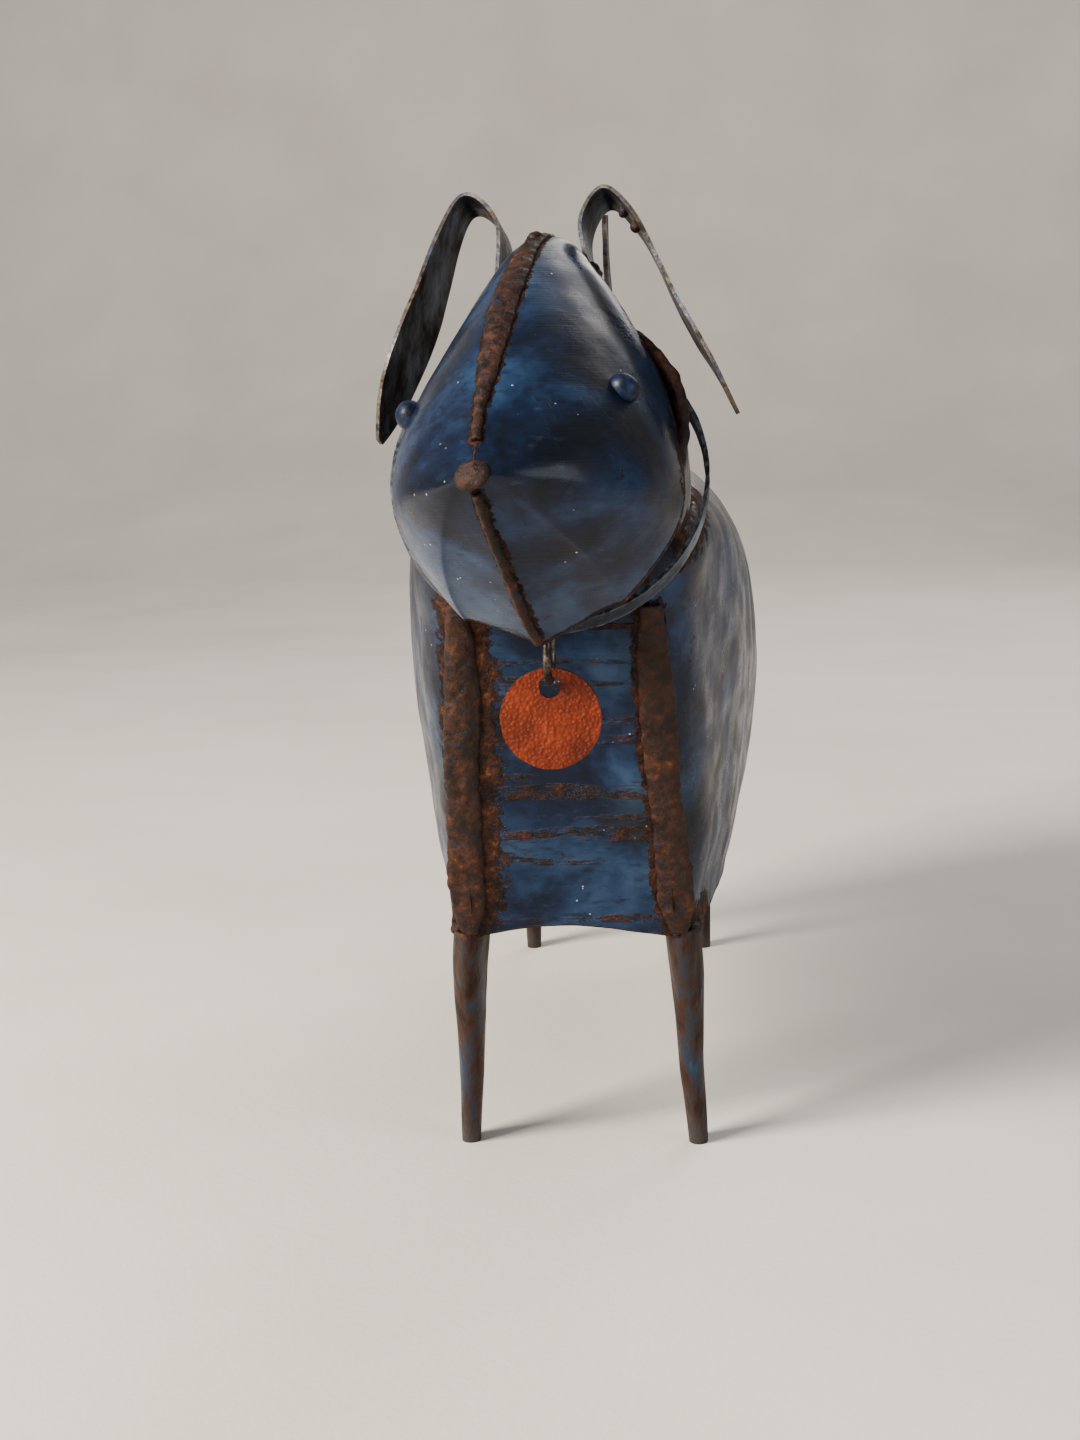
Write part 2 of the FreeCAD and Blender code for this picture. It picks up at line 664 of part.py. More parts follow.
shape_piece("tail", tail_strip())
tail_foot = Vector(0, rump_y(size("rump_height")) + 1, size("rump_height") - 3)
drop("tail_weld", tail_foot, TAIL_WELD_RADII)


# ---- collar, ring and tag ------------------------------------------------------------------

band_middle = size("collar_radius") - GAUGE / 2
band_place = Placement(collar_centre - FORWARD * (size("collar_width") / 2),
                       Rotation(Vector(0, 0, 1), FORWARD))
hole_point = collar_centre - UP_NECK * band_middle


def cylinder(label, placement, **formulas):
    thing = doc.addObject("Part::Cylinder", label)
    bind(thing, **formulas)
    thing.Placement = placement
    return thing


def cut(label, base, tool):
    thing = doc.addObject("Part::Cut", label)
    thing.Base, thing.Tool = base, tool
    return thing


band_outer = cylinder("band_outer", band_place, Radius="Sizes.collar_radius",
                      Height="Sizes.collar_width")
band_inner = cylinder("band_inner", band_place, Radius="Sizes.collar_radius - Sizes.gauge",
                      Height="Sizes.collar_width")
punch_place = Placement(hole_point - UP_NECK * 2, Rotation(Vector(0, 0, 1), UP_NECK))
punch = cylinder("punch", punch_place, Radius="Sizes.collar_hole_radius", Height="Sizes.gauge * 8")
piece("collar", cut("collar", cut("band", band_outer, band_inner), punch))

tack_angle = math.radians(180 - size("tack_turn"))
tack_out = X_WAY * math.sin(tack_angle) + UP_NECK * math.cos(tack_angle)
tack_turn = Rotation(FORWARD.cross(tack_out), FORWARD, tack_out, "ZXY")
drop("collar_tack", collar_centre + tack_out * size("collar_radius"),
     (size("tack_half_length"), size("collar_width") / 2, GAUGE * 0.9), None, tack_turn)

ring_centre = hole_point - FORWARD * size("ring_behind") - UP_NECK * size("ring_below")
ring = doc.addObject("Part::Torus", "tag_ring")
bind(ring, Radius1="Sizes.ring_radius", Radius2="Sizes.wire_radius", Angle3="Sizes.ring_sweep")
ring.Placement = Placement(ring_centre, Rotation(Vector(0, 1, 0), 90))
piece("tag_ring", ring)

tag_hole_z = (ring_centre.z - size("ring_radius") + size("wire_radius") + size("tag_play")
              - size("tag_hole_radius"))
tag_centre = Vector(0, ring_centre.y, tag_hole_z - size("tag_hole_rise"))


def tag_body():
    body = doc.addObject("PartDesign::Body", "tag")
    plane = next(f for f in body.Origin.OriginFeatures if f.Role == "XZ_Plane")
    sketch = body.newObject("Sketcher::SketchObject", "tag_outline")
    sketch.AttachmentSupport = (plane, [""])
    sketch.MapMode = "FlatFace"
    sketch.addGeometry(Part.Circle(Vector(0, 0, 0), Vector(0, 0, 1), size("tag_radius")))
    rise = Vector(0, size("tag_hole_rise"), 0)
    sketch.addGeometry(Part.Circle(rise, Vector(0, 0, 1), size("tag_hole_radius")))
    sketch.addConstraint(Sketcher.Constraint("Coincident", 0, 3, -1, 1))
    sketch.addConstraint(Sketcher.Constraint("Radius", 0, size("tag_radius")))
    sketch.addConstraint(Sketcher.Constraint("Radius", 1, size("tag_hole_radius")))
    sketch.addConstraint(Sketcher.Constraint("PointOnObject", 1, 3, -2))
    sketch.addConstraint(Sketcher.Constraint("DistanceY", -1, 1, 1, 3, size("tag_hole_rise")))
    for number, formula in ((1, "tag_radius"), (2, "tag_hole_radius"), (4, "tag_hole_rise")):
        sketch.setExpression(f"Constraints[{number}]", f"Sizes.{formula}")
    pad = body.newObject("PartDesign::Pad", "tag_disc")
    pad.Profile = sketch
    pad.SideType = "Symmetric"
    pad.setExpression("Length", "Sizes.tag_thickness")
    body.Placement = Placement(tag_centre, Rotation())
    return body


piece("tag", tag_body())
doc.recompute()


# ---- origin, checks and files --------------------------------------------------------------

box = FreeCAD.BoundBox()
for thing in PIECES:
    box.add(thing.Shape.optimalBoundingBox(False, False))
shift = Vector(-box.Center.x, -box.Center.y, -box.ZMin)
for thing in PIECES:
    thing.Placement = Placement(shift, Rotation()) * thing.Placement
doc.recompute()

for thing in doc.Objects:
    if "Invalid" in thing.State or "Error" in thing.State:
        raise RuntimeError(f"{thing.Label} did not build: {thing.State}")
for thing in PIECES:
    if thing.Shape.isNull() or not thing.Shape.isValid() or not thing.Shape.Solids:
        raise RuntimeError(f"{thing.Label} has no sound solid")

os.makedirs("parts", exist_ok=True)
for thing in PIECES:
    thing.Shape.exportStep(f"parts/{thing.Label}.step")
    print(f"{thing.Label:22s} solids {len(thing.Shape.Solids)} volume {thing.Shape.Volume:9.2f}")
print("box", [round(v, 2) for v in (box.XLength, box.YLength, box.ZLength)])
for label, point in (("collar axis", collar_centre), ("ring axis", hole_point),
                     ("ring centre", ring_centre), ("tag axis", Vector(
                         0, ring_centre.y, ring_centre.z - size("ring_radius"))),
                     ("band bar", hole_point - FORWARD * (size("collar_width") / 4
                                                          + size("collar_hole_radius") / 2)),
                     ("front foot", Vector(size("front_foot_half"), size("front_foot_place"), 0))):
    print(label, [round(v, 3) for v in point + shift])
print("forward", [round(v, 5) for v in FORWARD])
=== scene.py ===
"""The looks of a small dog welded from bent sheet steel.

Every CAD node gets a finer skin of its own. The sheets are dented a little, the weld beads
are lumpy, and the paint rusts beside the welds and along the cut edges.
"""
import math

import bmesh
import bpy
from mathutils import Matrix, Vector, noise
from mathutils.kdtree import KDTree


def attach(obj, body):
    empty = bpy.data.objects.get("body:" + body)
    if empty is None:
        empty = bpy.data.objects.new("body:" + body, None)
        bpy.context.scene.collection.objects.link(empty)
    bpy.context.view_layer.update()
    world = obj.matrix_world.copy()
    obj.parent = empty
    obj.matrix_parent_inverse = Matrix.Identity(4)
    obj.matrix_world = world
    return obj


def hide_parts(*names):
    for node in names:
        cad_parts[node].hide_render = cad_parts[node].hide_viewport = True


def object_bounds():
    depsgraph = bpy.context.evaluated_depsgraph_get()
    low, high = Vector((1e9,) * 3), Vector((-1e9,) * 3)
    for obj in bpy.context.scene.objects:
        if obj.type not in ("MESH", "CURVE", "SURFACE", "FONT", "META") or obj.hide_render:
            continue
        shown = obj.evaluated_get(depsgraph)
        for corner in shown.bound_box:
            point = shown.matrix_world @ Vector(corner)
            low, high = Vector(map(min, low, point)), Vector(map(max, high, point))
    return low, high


MM = 0.001
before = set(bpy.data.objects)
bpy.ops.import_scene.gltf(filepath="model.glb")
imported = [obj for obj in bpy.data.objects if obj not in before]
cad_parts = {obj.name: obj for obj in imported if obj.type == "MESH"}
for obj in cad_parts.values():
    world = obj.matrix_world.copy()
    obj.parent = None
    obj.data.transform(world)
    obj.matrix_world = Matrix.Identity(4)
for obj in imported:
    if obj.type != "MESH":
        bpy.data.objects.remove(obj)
cad_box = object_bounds()


def srgb(red, green, blue):
    """A screen colour from 0 to 255 as the linear colour a shader takes."""
    linear = []
    for part in (red, green, blue):
        share = part / 255
        linear.append(share / 12.92 if share < 0.04045 else ((share + 0.055) / 1.055) ** 2.4)
    return (*linear, 1)


def smooth_step(value, low, high):
    """0 below low, 1 above high, and a smooth rise between them."""
    share = min(max((value - low) / (high - low), 0), 1)
    return share * share * (3 - 2 * share)


# Shapes

MERGE_REACH = 1e-7
MOST_HALVINGS = 60
DENT_SIZE = 14 * MM
DENT_DEPTH = 0.42 * MM
RIPPLE_SIZE = 4.5 * MM
RIPPLE_DEPTH = 0.09 * MM
RIPPLE_SHIFT = Vector((7, 3, 5))
FOOT_FADE = 12 * MM
SHARP_ANGLE = math.radians(38)
LUMP_MIDDLE = 0.62
GRAIN_SHARE = 0.35
GRAIN_HEIGHT = 0.25
WELD_EDGE = 0.45 * MM
SHAKE_SIZE = 1.6 * MM
SHAKE_INSIDE = 0.3
RIM_REACH = 0.7 * MM


def dented(point):
    """Where a point of the figure goes when its sheets are dented. The feet stay on the ground."""
    hold = smooth_step(point.z, 0, FOOT_FADE)
    dent = noise.noise_vector(point / DENT_SIZE) * DENT_DEPTH
    ripple = noise.noise_vector(point / RIPPLE_SIZE + RIPPLE_SHIFT) * RIPPLE_DEPTH
    return point + (dent + ripple) * hold


def in_box(point):
    """The point, brought back inside the CAD box if it has left it."""
    low, high = cad_box
    return Vector(min(max(point[i], low[i]), high[i]) for i in range(3))


def split_long_edges(mesh, longest):
    """Halves the longest edges, one to a face, until none is longer than longest."""
    for _ in range(MOST_HALVINGS):
        lengths = {edge: edge.calc_length() for edge in mesh.edges}
        too_long = [edge for edge, length in lengths.items() if length > longest]
        if not too_long:
            return
        too_long.sort(key=lengths.get, reverse=True)
        mesh.faces.index_update()
        chosen, used = [], set()
        for edge in too_long:
            faces = [face.index for face in edge.link_faces]
            if used.isdisjoint(faces):
                chosen.append(edge)
                used.update(faces)
        bmesh.ops.subdivide_edges(mesh, edges=chosen, cuts=1, use_single_edge=True)


def fine_mesh(node, longest):
    """A bmesh of a CAD node with no edge longer than longest, and its sharp edges marked."""
    mesh = bmesh.new()
    mesh.from_mesh(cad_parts[node].data)
    bmesh.ops.remove_doubles(mesh, verts=mesh.verts, dist=MERGE_REACH)
    for edge in mesh.edges:
        two_sided = len(edge.link_faces) == 2
        edge.smooth = two_sided and edge.calc_face_angle(0) < SHARP_ANGLE
    split_long_edges(mesh, longest)
    for face in mesh.faces:
        face.smooth = True
    return mesh


def lumpy(point, lump_size):
    """Height of the lumps and pits of a weld, mostly above 0."""
    cells, _ = noise.voronoi(point / lump_size)
    grain = noise.noise(point / (lump_size * GRAIN_SHARE))
    return (LUMP_MIDDLE - cells[0]) + GRAIN_HEIGHT * grain


def add_piece(name, mesh, body, material, replaced):
    """Puts a finished bmesh into the scene as a piece that rides on a body.

    replaced lists the CAD nodes that it stands in for.
    """
    data = bpy.data.meshes.new(name)
    mesh.to_mesh(data)
    mesh.free()
    piece = bpy.data.objects.new(name, data)
    bpy.context.scene.collection.objects.link(piece)
    data.materials.append(material)
    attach(piece, body)
    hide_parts(*replaced)


def set_layer(mesh, name, values):
    """Stores one number for each vertex, which a material can read."""
    layer = mesh.verts.layers.float.new(name)
    for vert, value in zip(mesh.verts, values):
        vert[layer] = value


# Where rust and bare edges go

POINTS_PER_WELD = 900
RUST_REACH = {
    "chest_weld_right": 4.4 * MM,
    "chest_weld_left": 1.5 * MM,
    "head_seam_weld": 0.9 * MM,
    "keel_weld": 0.8 * MM,
    "head_weld": 3.0 * MM,
    "neck_weld": 3.6 * MM,
    "spine_weld": 3.4 * MM,
    "rump_weld_right": 4.2 * MM,
    "rump_weld_left": 4.2 * MM,
    "tail_weld": 2.5 * MM,
    "leg_weld_front_right": 4.5 * MM,
    "leg_weld_front_left": 4.5 * MM,
    "leg_weld_rear_right": 4.5 * MM,
    "leg_weld_rear_left": 4.5 * MM,
    "ear_weld_right": 2.2 * MM,
    "ear_weld_left": 2.2 * MM,
    "crown_lump": 1.4 * MM,
}


def weld_tree():
    """A search tree of points on the weld beads, and how far each point's rust reaches."""
    spots = []
    for name, reach in RUST_REACH.items():
        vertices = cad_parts[name].data.vertices
        step = max(1, len(vertices) // POINTS_PER_WELD)
        spots += [(vertices[i].co.copy(), reach) for i in range(0, len(vertices), step)]
    tree = KDTree(len(spots))
    for index, (place, _) in enumerate(spots):
        tree.insert(place, index)
    tree.balance()
    return tree, [reach for _, reach in spots]


WELD_TREE, WELD_REACHES = weld_tree()


def rust_share(point):
    """1 on a weld, falling to 0 at the end of its rust."""
    _, index, gap = WELD_TREE.find(point)
    return max(0, 1 - gap / WELD_REACHES[index])


def rim_shares(mesh, reach):
    """For each vertex, 1 on a sharp edge and 0 from reach away."""
    rims = [edge for edge in mesh.edges if not edge.smooth]
    if not rims:
        return [0 for _ in mesh.verts]
    places = [vert.co.copy() for edge in rims for vert in edge.verts]
    tree = KDTree(len(places))
    for index, place in enumerate(places):
        tree.insert(place, index)
    tree.balance()
    return [max(0, 1 - tree.find(vert.co)[2] / reach) for vert in mesh.verts]


# Materials

COAT_ROUGHNESS = 0.18
PAINT_GLINT = 0.26
TAG_GLINT = 0.3


class Finish:
    """A node material, put together by short calls that each return an output socket."""

    def __init__(self, name, metallic, coat=0, glint=0.5):
        self.material = bpy.data.materials.new(name)
        self.material.use_nodes = True
        self.tree = self.material.node_tree
        self.shader = self.tree.nodes["Principled BSDF"]
        self.shader.inputs["Metallic"].default_value = metallic
        self.shader.inputs["Coat Weight"].default_value = coat
        self.shader.inputs["Coat Roughness"].default_value = COAT_ROUGHNESS
        self.shader.inputs["Specular IOR Level"].default_value = glint
        self.place = self.tree.nodes.new("ShaderNodeTexCoord").outputs["Object"]

    def put(self, socket, value):
        """Links an output socket, or sets a plain value."""
        if isinstance(value, bpy.types.NodeSocket):
            self.tree.links.new(value, socket)
        else:
            socket.default_value = value

    def turned(self, angles):
        """The place after a turn by these angles in degrees."""
        turn = self.tree.nodes.new("ShaderNodeVectorRotate")
        turn.rotation_type = "EULER_XYZ"
        self.put(turn.inputs["Vector"], self.place)
        turn.inputs["Rotation"].default_value = [math.radians(angle) for angle in angles]
        return turn.outputs[0]

    def stretched(self, sizes, place=None):
        """The place, measured in steps of these sizes in millimetres along X, Y and Z."""
        scale = self.tree.nodes.new("ShaderNodeVectorMath")
        scale.operation = "MULTIPLY"
        self.put(scale.inputs[0], place or self.place)
        scale.inputs[1].default_value = [1 / (step * MM) for step in sizes]
        return scale.outputs[0]

    def noise(self, sizes, detail=4, roughness=0.55, distortion=0.0, place=None):
        """Smooth noise from about 0.2 to 0.8, in steps of these sizes."""
        texture = self.tree.nodes.new("ShaderNodeTexNoise")
        self.put(texture.inputs["Vector"], self.stretched(sizes, place))
        texture.inputs["Scale"].default_value = 1
        texture.inputs["Detail"].default_value = detail
        texture.inputs["Roughness"].default_value = roughness
        texture.inputs["Distortion"].default_value = distortion
        return texture.outputs["Fac"]

    def cells(self, sizes, feature="F1"):
        """Distance to the nearest cell centre, for cells of these sizes."""
        texture = self.tree.nodes.new("ShaderNodeTexVoronoi")
        texture.feature = feature
        self.put(texture.inputs["Vector"], self.stretched(sizes))
        texture.inputs["Scale"].default_value = 1
        return texture.outputs["Distance"]

    def level(self, value, low, high, start=0.0, end=1.0):
        """start below low, end above high, and a smooth change between them."""
        change = self.tree.nodes.new("ShaderNodeMapRange")
        change.interpolation_type = "SMOOTHSTEP"
        self.put(change.inputs["Value"], value)
        change.inputs["From Min"].default_value = low
        change.inputs["From Max"].default_value = high
        change.inputs["To Min"].default_value = start
        change.inputs["To Max"].default_value = end
        return change.outputs["Result"]

    def maths(self, operation, first, second):
        """A sum, product or the like of two values, kept from 0 to 1."""
        result = self.tree.nodes.new("ShaderNodeMath")
        result.operation = operation
        result.use_clamp = True
        self.put(result.inputs[0], first)
        self.put(result.inputs[1], second)
        return result.outputs[0]

    def stored(self, name):
        """A number stored on the vertices."""
        attribute = self.tree.nodes.new("ShaderNodeAttribute")
        attribute.attribute_name = name
        return attribute.outputs["Fac"]

    def height(self):
        """The Z of the place, in metres."""
        split = self.tree.nodes.new("ShaderNodeSeparateXYZ")
        self.put(split.inputs[0], self.place)
        return split.outputs["Z"]

    def mix(self, share, first, second):
        """Colour first where share is 0, second where it is 1."""
        blend = self.tree.nodes.new("ShaderNodeMix")
        blend.data_type = "RGBA"
        self.put(blend.inputs["Factor"], share)
        self.put(blend.inputs[6], first)
        self.put(blend.inputs[7], second)
        return blend.outputs[2]

    def ramp(self, value, *stops):
        """A run of colours, each given with the value where it stands."""
        colours = self.tree.nodes.new("ShaderNodeValToRGB")
        steps = colours.color_ramp.elements
        while len(steps) < len(stops):
            steps.new(0.5)
        for step, (position, colour) in zip(steps, stops):
            step.position = position
            step.color = colour
        self.put(colours.inputs["Fac"], value)
        return colours.outputs["Color"]

    def bump(self, height, depth, under=None):
        """A normal raised by height, of this depth in millimetres."""
        raised = self.tree.nodes.new("ShaderNodeBump")
        raised.inputs["Strength"].default_value = 1
        raised.inputs["Distance"].default_value = depth * MM
        self.put(raised.inputs["Height"], height)
        if under:
            self.put(raised.inputs["Normal"], under)
        return raised.outputs["Normal"]

    def done(self, colour, roughness, normal):
        """Links the results to the shader and returns the material."""
        self.put(self.shader.inputs["Base Color"], colour)
        self.put(self.shader.inputs["Roughness"], roughness)
        self.put(self.shader.inputs["Normal"], normal)
        return self.material


NIGHT = srgb(11, 16, 27)
NAVY = srgb(17, 29, 52)
STEEL_BLUE = srgb(33, 53, 80)
WORN_BLUE = srgb(62, 85, 108)
MOSS = srgb(40, 50, 44)
SOOT = srgb(15, 12, 12)
RUST_DARK = srgb(34, 21, 16)
RUST = srgb(60, 35, 24)
RUST_WARM = srgb(88, 54, 35)
SCALE_TAN = srgb(142, 112, 82)
GUNMETAL = srgb(62, 64, 70)


def rust_colour(finish):
    """Brown rust with dark pits and pale scale."""
    patches = finish.noise((2.2, 2.2, 2.2), detail=7, roughness=0.68)
    return finish.ramp(
        patches,
        (0.30, SOOT),
        (0.42, RUST_DARK),
        (0.54, RUST),
        (0.64, RUST_WARM),
        (0.76, SCALE_TAN),
    )


def scratches(finish, angles, spacing, length, wear):
    """Thin lines in one direction, grouped where wear is high."""
    lines = finish.noise((spacing, length, length), detail=2, place=finish.turned(angles))
    groups = finish.noise((9, 9, 9), detail=2)
    thin = finish.level(lines, 0.68, 0.76)
    return finish.maths("MULTIPLY", thin, finish.level(groups, wear, wear + 0.14))


def blue_paint(name, gloss, streaks):
    """Steel-blue paint over thin sheet, worn, scratched, and rusty beside the welds."""
    finish = Finish(name, metallic=0.0, coat=gloss, glint=PAINT_GLINT)
    tone = finish.noise((13, 13, 13), detail=5, roughness=0.6, distortion=0.4)
    cloud = finish.noise((3.0, 3.0, 1.1), detail=6, roughness=0.62)
    paint = finish.ramp(
        tone, (0.36, NIGHT), (0.48, NAVY), (0.60, STEEL_BLUE), (0.82, WORN_BLUE)
    )
    paint = finish.mix(finish.level(cloud, 0.58, 0.80, 0, 0.35), paint, WORN_BLUE)
    paint = finish.mix(finish.level(cloud, 0.48, 0.30, 0, 0.6), paint, NIGHT)
    tint = finish.noise((17, 17, 17), detail=2)
    paint = finish.mix(finish.level(tint, 0.58, 0.74, 0, 0.35), paint, MOSS)
    lines = finish.maths(
        "MAXIMUM",
        scratches(finish, (20, 35, 10), 0.07, 4, 0.52),
        scratches(finish, (75, -20, 50), 0.06, 3, 0.56),
    )
    paint = finish.mix(finish.maths("MULTIPLY", lines, 0.32), paint, srgb(112, 128, 144))
    specks = finish.level(finish.cells((1.5, 1.5, 1.5)), 0.11, 0.06)
    sparse = finish.level(finish.noise((7, 7, 7), detail=1), 0.56, 0.64)
    specks = finish.maths("MULTIPLY", specks, sparse)
    paint = finish.mix(finish.maths("MULTIPLY", specks, 0.8), paint, srgb(178, 182, 180))
    ragged = finish.noise((1.5, 1.5, 1.5), detail=7, roughness=0.7)
    near = finish.maths("ADD", finish.stored("rust"), finish.level(ragged, 0.3, 0.7, 0, 0.55))
    rusty = finish.level(near, 0.62, 0.82)
    loose = finish.noise((5.5, 5.5, 5.5), detail=8, roughness=0.72)
    rusty = finish.maths("MAXIMUM", rusty, finish.level(loose, 0.655, 0.70, 0, 0.85))
    rim = finish.maths("ADD", finish.stored("rim"), finish.level(ragged, 0.3, 0.7, 0, 0.4))
    rusty = finish.maths("MAXIMUM", rusty, finish.level(rim, 0.75, 1.0))
    if streaks:
        bands = finish.noise((30, 30, 2.6), detail=3, roughness=0.5)
        broken = finish.noise((2.5, 2.5, 0.8), detail=5, roughness=0.7)
        bands = finish.level(bands, 0.54, 0.62)
        broken = finish.level(broken, 0.40, 0.58)
        band = finish.maths("MULTIPLY", bands, broken)
        rusty = finish.maths("MAXIMUM", rusty, finish.maths("MULTIPLY", band, 0.9))
    colour = finish.mix(rusty, paint, rust_colour(finish))
    smudge = finish.noise((6, 6, 6), detail=4)
    shine = finish.level(smudge, 0.35, 0.65, 0.24, 0.40)
    rough = finish.maths("ADD", shine, finish.maths("MULTIPLY", rusty, 0.42))
    rough = finish.maths("ADD", rough, finish.maths("MULTIPLY", lines, 0.12))
    finish.put(
        finish.shader.inputs["Coat Weight"],
        finish.maths("MULTIPLY", finish.maths("SUBTRACT", 1.0, rusty), gloss),
    )
    brushed = finish.noise((6, 6, 0.16), detail=3, roughness=0.6)
    hammered = finish.noise((2.6, 2.6, 2.6), detail=2)
    normal = finish.bump(brushed, 0.035)
    normal = finish.bump(hammered, 0.05, normal)
    crust = finish.maths("MULTIPLY", rusty, finish.noise((0.7, 0.7, 0.7), detail=6))
    normal = finish.bump(crust, 0.55, normal)
    normal = finish.bump(finish.maths("SUBTRACT", 1.0, lines), 0.03, normal)
    return finish.done(colour, rough, normal)


def weld_metal(name):
    """A weld bead: brown rust, soot in its pits and tan scale."""
    finish = Finish(name, metallic=0.25)
    patches = finish.noise((1.3, 1.3, 1.3), detail=8, roughness=0.72)
    broad = finish.noise((6, 6, 6), detail=3)
    mixed = finish.maths(
        "ADD",
        finish.maths("MULTIPLY", patches, 0.72),
        finish.maths("MULTIPLY", broad, 0.28),
    )
    colour = finish.ramp(
        mixed,
        (0.34, SOOT),
        (0.46, RUST_DARK),
        (0.55, RUST),
        (0.63, RUST_WARM),
        (0.74, SCALE_TAN),
    )
    blue = finish.noise((3.4, 3.4, 3.4), detail=4)
    colour = finish.mix(finish.level(blue, 0.60, 0.70, 0, 0.6), colour, NAVY)
    rough = finish.level(patches, 0.35, 0.7, 0.42, 0.85)
    grains = finish.noise((0.45, 0.45, 0.45), detail=6, roughness=0.65)
    normal = finish.bump(grains, 0.18)
    normal = finish.bump(finish.cells((1.3, 1.3, 1.3)), 0.10, normal)
    return finish.done(colour, rough, normal)


def leg_steel(name):
    """Blue-grey paint rubbed through to brown down the legs."""
    finish = Finish(name, metallic=0.35)
    rubbed = finish.noise((3.5, 3.5, 14), detail=7, roughness=0.66)
    colour = finish.ramp(
        rubbed,
        (0.30, SOOT),
        (0.40, RUST_DARK),
        (0.50, RUST),
        (0.54, srgb(52, 46, 46)),
        (0.62, srgb(38, 50, 70)),
        (0.78, WORN_BLUE),
    )
    flakes = finish.noise((0.9, 0.9, 1.4), detail=6, roughness=0.7)
    colour = finish.mix(finish.level(flakes, 0.60, 0.68, 0, 0.6), colour, RUST_WARM)
    colour = finish.mix(finish.level(finish.stored("rust"), 0.2, 0.8), colour, rust_colour(finish))
    # Greyer towards the feet, strongest at the ground and fading out 7 mm above it.
    colour = finish.mix(finish.level(finish.height(), 0.007, 0.0, 0, 0.7), colour, srgb(74, 70, 70))
    rough = finish.level(rubbed, 0.35, 0.65, 0.62, 0.36)
    normal = finish.bump(flakes, 0.20)
    drawn = finish.noise((0.3, 0.3, 9), detail=2)
    normal = finish.bump(drawn, 0.04, normal)
    return finish.done(colour, rough, normal)


def dark_steel(name, worn):
    """Dark sheet, blue-grey on its faces and brown with oxide, brighter at its worn edges."""
    finish = Finish(name, metallic=0.62)
    patches = finish.noise((4, 4, 7), detail=7, roughness=0.64)
    colour = finish.ramp(
        patches,
        (0.32, SOOT),
        (0.42, srgb(40, 31, 28)),
        (0.52, GUNMETAL),
        (0.64, srgb(70, 80, 96)),
        (0.78, srgb(104, 112, 122)),
    )
    flecks = finish.noise((0.9, 0.9, 0.9), detail=5, roughness=0.7)
    colour = finish.mix(finish.level(flecks, 0.60, 0.68, 0, 0.7), colour, RUST)
    edge = finish.maths("MULTIPLY", finish.stored("rim"), finish.level(flecks, 0.40, 0.55))
    colour = finish.mix(finish.maths("MULTIPLY", edge, worn), colour, srgb(150, 136, 120))
    lines = scratches(finish, (15, 60, 0), 0.09, 3, 0.45)
    colour = finish.mix(finish.maths("MULTIPLY", lines, 0.5), colour, srgb(150, 152, 156))
    rough = finish.level(patches, 0.35, 0.65, 0.62, 0.34)
    normal = finish.bump(flecks, 0.12)
    normal = finish.bump(patches, 0.25, normal)
    return finish.done(colour, rough, normal)


def collar_steel(name):
    """A slate band with brown spots and rubbed edges."""
    finish = Finish(name, metallic=0.45)
    tone = finish.noise((7, 7, 7), detail=6, roughness=0.6)
    colour = finish.ramp(
        tone,
        (0.32, srgb(18, 21, 27)),
        (0.46, srgb(32, 40, 53)),
        (0.60, srgb(52, 64, 80)),
        (0.76, srgb(84, 95, 108)),
    )
    spots = finish.noise((1.3, 1.3, 1.3), detail=6, roughness=0.7)
    colour = finish.mix(finish.level(spots, 0.585, 0.66, 0, 0.9), colour, RUST)
    pits = finish.noise((2.4, 2.4, 2.4), detail=5, roughness=0.7)
    colour = finish.mix(finish.level(pits, 0.60, 0.70, 0, 0.9), colour, SOOT)
    edge = finish.maths("MULTIPLY", finish.stored("rim"), finish.level(spots, 0.42, 0.56))
    colour = finish.mix(finish.maths("MULTIPLY", edge, 0.55), colour, srgb(132, 138, 144))
    lines = scratches(finish, (0, 0, 70), 0.08, 4, 0.44)
    colour = finish.mix(finish.maths("MULTIPLY", lines, 0.5), colour, srgb(150, 160, 170))
    rough = finish.level(tone, 0.35, 0.65, 0.52, 0.32)
    rough = finish.maths("ADD", rough, finish.level(spots, 0.585, 0.66, 0, 0.3))
    normal = finish.bump(spots, 0.12)
    normal = finish.bump(tone, 0.3, normal)
    return finish.done(colour, rough, normal)


def ring_steel(name):
    """Dark bare wire with a rubbed, warm shine."""
    finish = Finish(name, metallic=0.9)
    tone = finish.noise((1.4, 1.4, 1.4), detail=6, roughness=0.65)
    colour = finish.ramp(
        tone,
        (0.34, srgb(34, 29, 28)),
        (0.5, srgb(74, 68, 66)),
        (0.64, srgb(120, 108, 96)),
        (0.78, srgb(158, 138, 116)),
    )
    rough = finish.level(tone, 0.35, 0.65, 0.5, 0.28)
    drawn = finish.noise((0.35, 0.35, 0.35), detail=4)
    return finish.done(colour, rough, finish.bump(drawn, 0.08))


